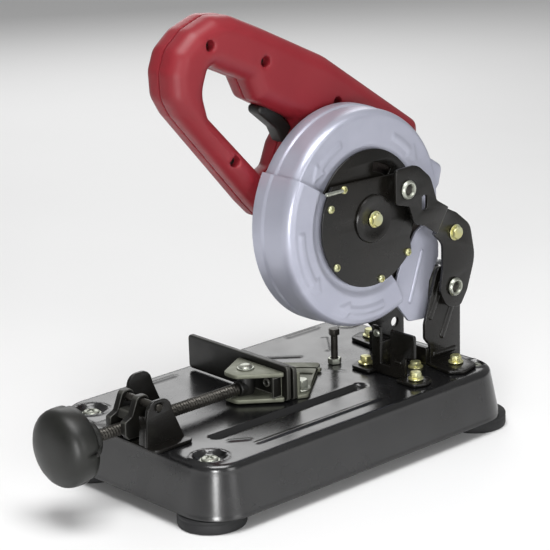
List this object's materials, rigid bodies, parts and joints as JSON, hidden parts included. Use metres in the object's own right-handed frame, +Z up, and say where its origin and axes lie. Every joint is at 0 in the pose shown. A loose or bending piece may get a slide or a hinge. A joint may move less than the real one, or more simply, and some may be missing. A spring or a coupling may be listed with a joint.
{
  "type": "cut-off saw",
  "caption": "Bench-top abrasive cut-off saw: D-handle motor head hinged over a pressed base with a vise, a fence and a swinging wheel guard.",
  "frame": {"origin": "centre of the bounding box's bottom face, on the surface the feet stand on", "axes": "+X the machine's right, the side of the wheel and its guards; +Y the rear, the side of the hinge; +Z up"},
  "size_m": [0.204, 0.401, 0.3574],
  "materials": {
    "gloss_black": "gloss",
    "satin_black": "satin",
    "silver_paint": "satin",
    "red_plastic": "satin moulded",
    "black_plastic": "fine texture",
    "black_rubber": "matte",
    "zinc": "zinc plated",
    "yellow_zinc": "yellow passivated zinc",
    "steel": "turned",
    "abrasive": "resin-bonded abrasive, rough",
    "copper": "lacquered winding"
  },
  "bodies": {
    "frame": {"base_tray": "gloss_black", "foot_front_left": "black_rubber", "foot_front_right": "black_rubber", "foot_rear_left": "black_rubber", "foot_rear_right": "black_rubber", "foot_screw_front_left": "zinc", "foot_screw_front_right": "zinc", "foot_screw_rear_left": "zinc", "foot_screw_rear_right": "zinc", "vise_bracket": "gloss_black", "half_nut_pin": "steel", "depth_stop_nut": "zinc", "pivot_bracket": "satin_black", "spark_plate": "satin_black", "bracket_bolt_front_left": "yellow_zinc", "bracket_bolt_front_right": "yellow_zinc", "bracket_bolt_rear_left": "yellow_zinc", "bracket_bolt_rear_right": "yellow_zinc", "hinge_pin": "steel", "head_spring": "steel", "fence_pivot_bolt": "zinc"},
    "fence": {"fence_plate": "satin_black", "fence_foot": "zinc"},
    "half_nut": {"half_nut": "satin_black"},
    "vise_slide": {"jaw_boss": "black_plastic", "jaw_pin": "zinc"},
    "screw": {"vise_screw": "steel", "vise_knob": "black_plastic"},
    "jaw": {"jaw_plate": "satin_black", "jaw_carrier": "zinc"},
    "depth_stop": {"depth_stop_screw": "zinc"},
    "head": {"gear_case": "satin_black", "gear_case_cover": "satin_black", "motor_housing": "red_plastic", "stator": "copper", "brush_cap_upper": "black_plastic", "brush_cap_lower": "black_plastic", "handle_left": "red_plastic", "handle_right": "red_plastic", "switch_body": "black_plastic", "spindle_bearing": "steel", "upper_guard": "silver_paint", "guard_cover": "satin_black", "spark_leaf": "silver_paint", "guard_arm": "gloss_black", "guard_arm_bolt": "yellow_zinc", "guard_arm_pin": "zinc", "guard_pivot_bolt": "yellow_zinc"},
    "spindle": {"spindle": "steel", "drive_gear": "steel", "wheel_flange_inner": "steel", "cutoff_wheel": "abrasive", "wheel_flange_outer": "steel", "arbor_bolt": "zinc"},
    "counter_shaft": {"counter_gear": "steel"},
    "armature": {"armature": "copper", "cooling_fan": "black_plastic"},
    "moving_guard": {"lower_guard": "silver_paint", "guard_hub": "satin_black"},
    "trigger": {"trigger": "black_plastic"}
  },
  "joints": [
    {"name": "head_pivot", "type": "hinge", "parent": "frame", "child": "head", "pos_m": [0.02, 0.1683, 0.1152], "axis": [1, 0, 0], "range_deg": [0, 35.5], "stiffness_Nm_per_rad": 5, "springref_deg": -63.03},
    {"name": "moving_guard_swing", "type": "hinge", "parent": "head", "child": "moving_guard", "pos_m": [0.05, 0.0772, 0.1907], "axis": [1, 0, 0], "range_deg": [-119.5, 0]},
    {"name": "wheel_spin", "type": "hinge", "parent": "head", "child": "spindle", "pos_m": [0.04, 0.0772, 0.1907], "axis": [1, 0, 0], "continuous": true},
    {"name": "counter_gear_spin", "type": "hinge", "parent": "head", "child": "counter_shaft", "pos_m": [0, 0.11497, 0.19607], "axis": [1, 0, 0], "continuous": true},
    {"name": "armature_spin", "type": "hinge", "parent": "head", "child": "armature", "pos_m": [-0.04, 0.15096, 0.20119], "axis": [1, 0, 0], "continuous": true},
    {"name": "trigger_squeeze", "type": "slide", "parent": "head", "child": "trigger", "axis": [0, 0.8, 0.6], "range_m": [0, 0.005], "stiffness_N_per_m": 600, "springref_m": -0.002},
    {"name": "vise_travel", "type": "slide", "parent": "frame", "child": "vise_slide", "axis": [0, 1, 0], "range_m": [-0.0675, 0]},
    {"name": "screw_spin", "type": "hinge", "parent": "vise_slide", "child": "screw", "pos_m": [0, -0.0685, 0.062], "axis": [0, 1, 0], "range_deg": [-4860, 0]},
    {"name": "jaw_swivel", "type": "hinge", "parent": "vise_slide", "child": "jaw", "pos_m": [0, -0.0075, 0.0665], "axis": [0, 0, 1], "range_deg": [-5, 5]},
    {"name": "half_nut_flip", "type": "hinge", "parent": "frame", "child": "half_nut", "pos_m": [0, -0.1195, 0.0825], "axis": [1, 0, 0], "range_deg": [-60, 0]},
    {"name": "fence_swivel", "type": "hinge", "parent": "frame", "child": "fence", "pos_m": [0.022, 0.0305, 0.0515], "axis": [0, 0, 1], "range_deg": [-45, 0]},
    {"name": "depth_stop_adjust", "type": "slide", "parent": "frame", "child": "depth_stop", "axis": [0, 0, 1], "range_m": [-0.012, 0]}
  ],
  "couplings": [
    {"joint": "moving_guard_swing", "follows": "head_pivot", "ratio": -3.36},
    {"joint": "counter_gear_spin", "follows": "wheel_spin", "ratio": -2},
    {"joint": "armature_spin", "follows": "wheel_spin", "ratio": 4.6667},
    {"joint": "vise_travel", "follows": "screw_spin", "m_per_rad": 0.00079577}
  ]
}
